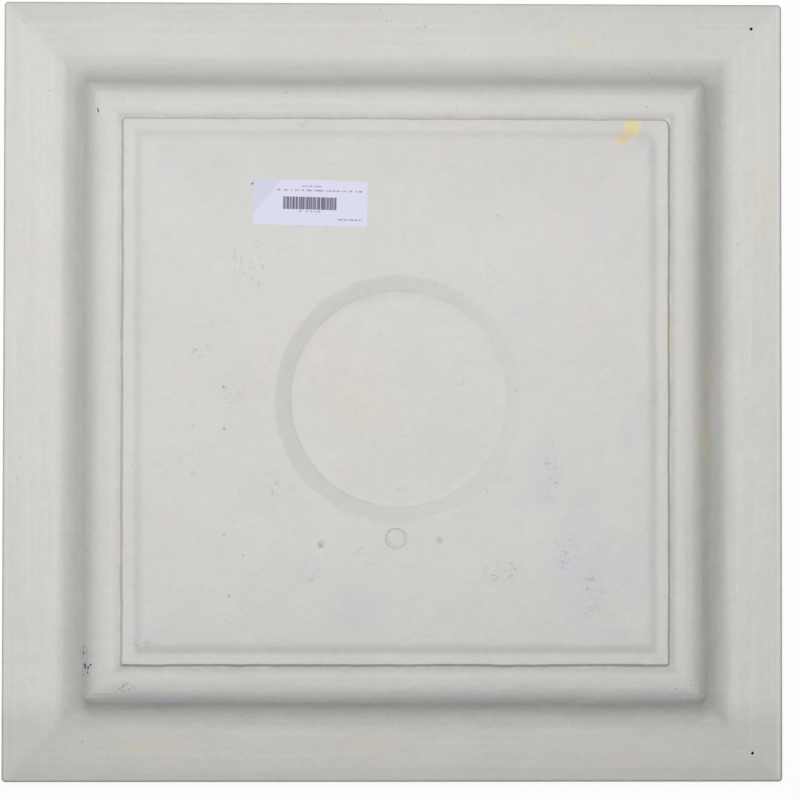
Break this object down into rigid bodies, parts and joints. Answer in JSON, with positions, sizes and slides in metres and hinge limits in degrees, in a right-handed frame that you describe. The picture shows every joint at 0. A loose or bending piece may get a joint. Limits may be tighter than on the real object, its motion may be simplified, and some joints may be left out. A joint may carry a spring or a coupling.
{
  "type": "ceiling tile",
  "caption": "Square moulded foam ceiling tile lying face down, with a flat border, an ogee-edged raised back, a shallow round recess and a small paper label.",
  "frame": {"origin": "centre of the tile's square outline, on the level of the border's face, which it rests on", "axes": "+Z out of the tile's back, towards the ceiling once it is up; +X to the right and +Y up as the picture shows the back"},
  "size_m": [0.6064, 0.6064, 0.0409],
  "materials": {
    "foam": "off-white rigid polyurethane foam with its moulding skin, matte, a little mottled, stained and pitted",
    "label_paper": "thin pale lavender-grey paper, matte, with faint grey printing that says nothing"
  },
  "bodies": {
    "root": {"ceiling_tile": "foam", "paper_label": "label_paper"}
  },
  "joints": []
}
